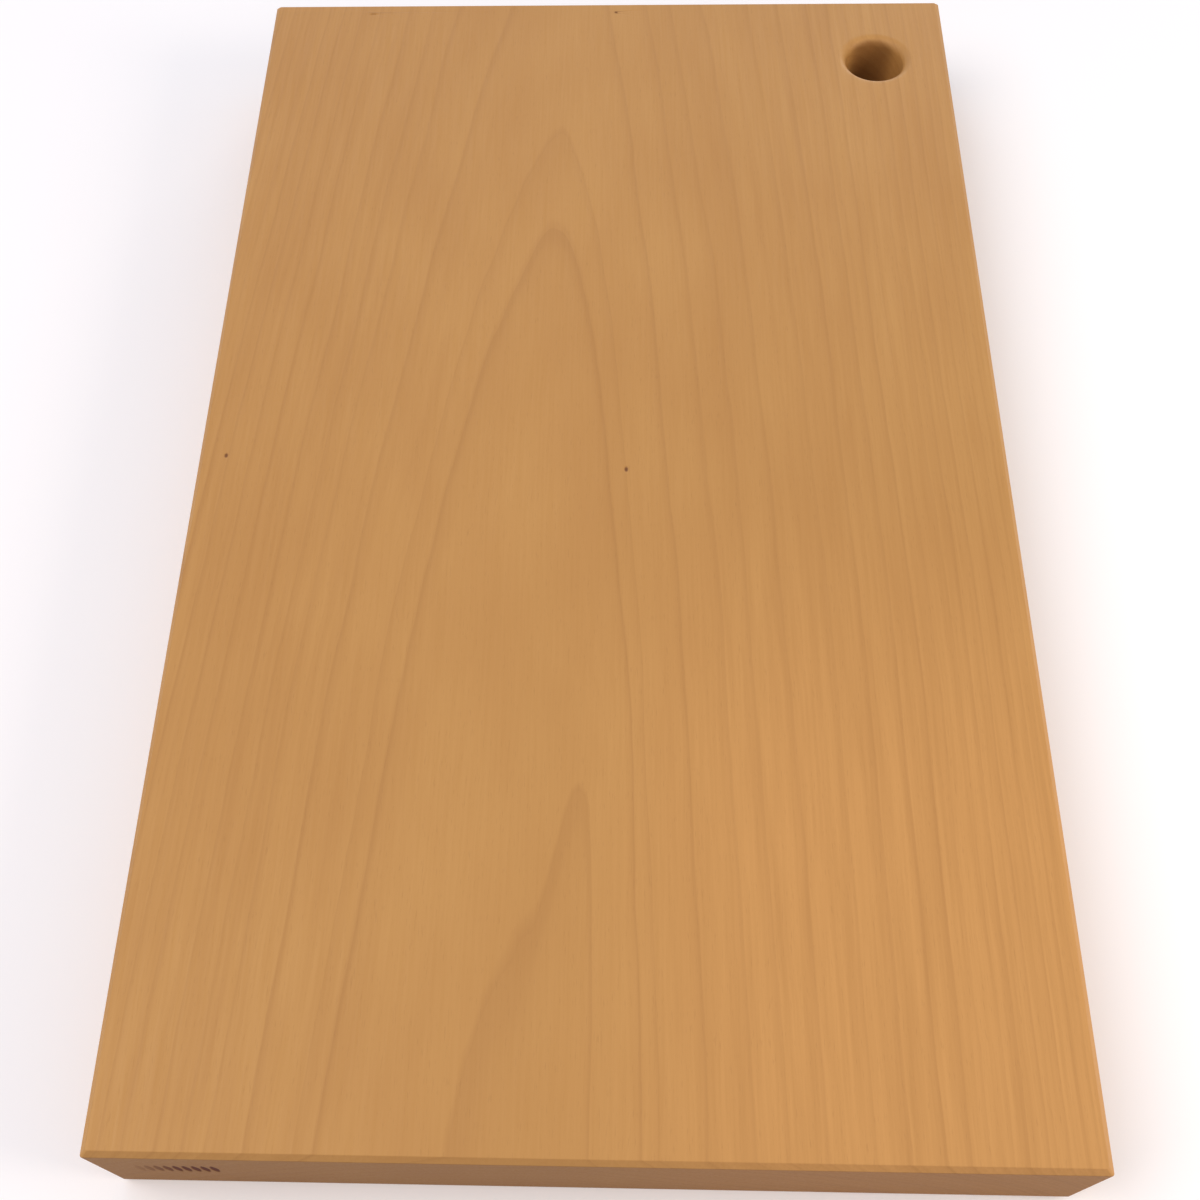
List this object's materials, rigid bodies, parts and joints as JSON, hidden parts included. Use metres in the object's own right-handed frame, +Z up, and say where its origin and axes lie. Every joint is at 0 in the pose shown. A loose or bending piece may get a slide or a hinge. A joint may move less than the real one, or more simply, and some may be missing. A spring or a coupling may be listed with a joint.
{
  "type": "cutting board",
  "caption": "Plain rectangular kitchen cutting board cut from one flat-sawn plank, with lightly chamfered edges and a hanging hole in one corner.",
  "frame": {"origin": "centre of the underside, the face that the board lies on", "axes": "+Z up out of the working face; +Y along the length, from the front end to the back end; +X to the right, so the hanging hole is in the +X, +Y corner"},
  "size_m": [0.21, 0.36, 0.03],
  "materials": {
    "plank_wood": "sanded smooth, unfinished, soft satin"
  },
  "bodies": {
    "root": {"board": "plank_wood"}
  },
  "joints": []
}
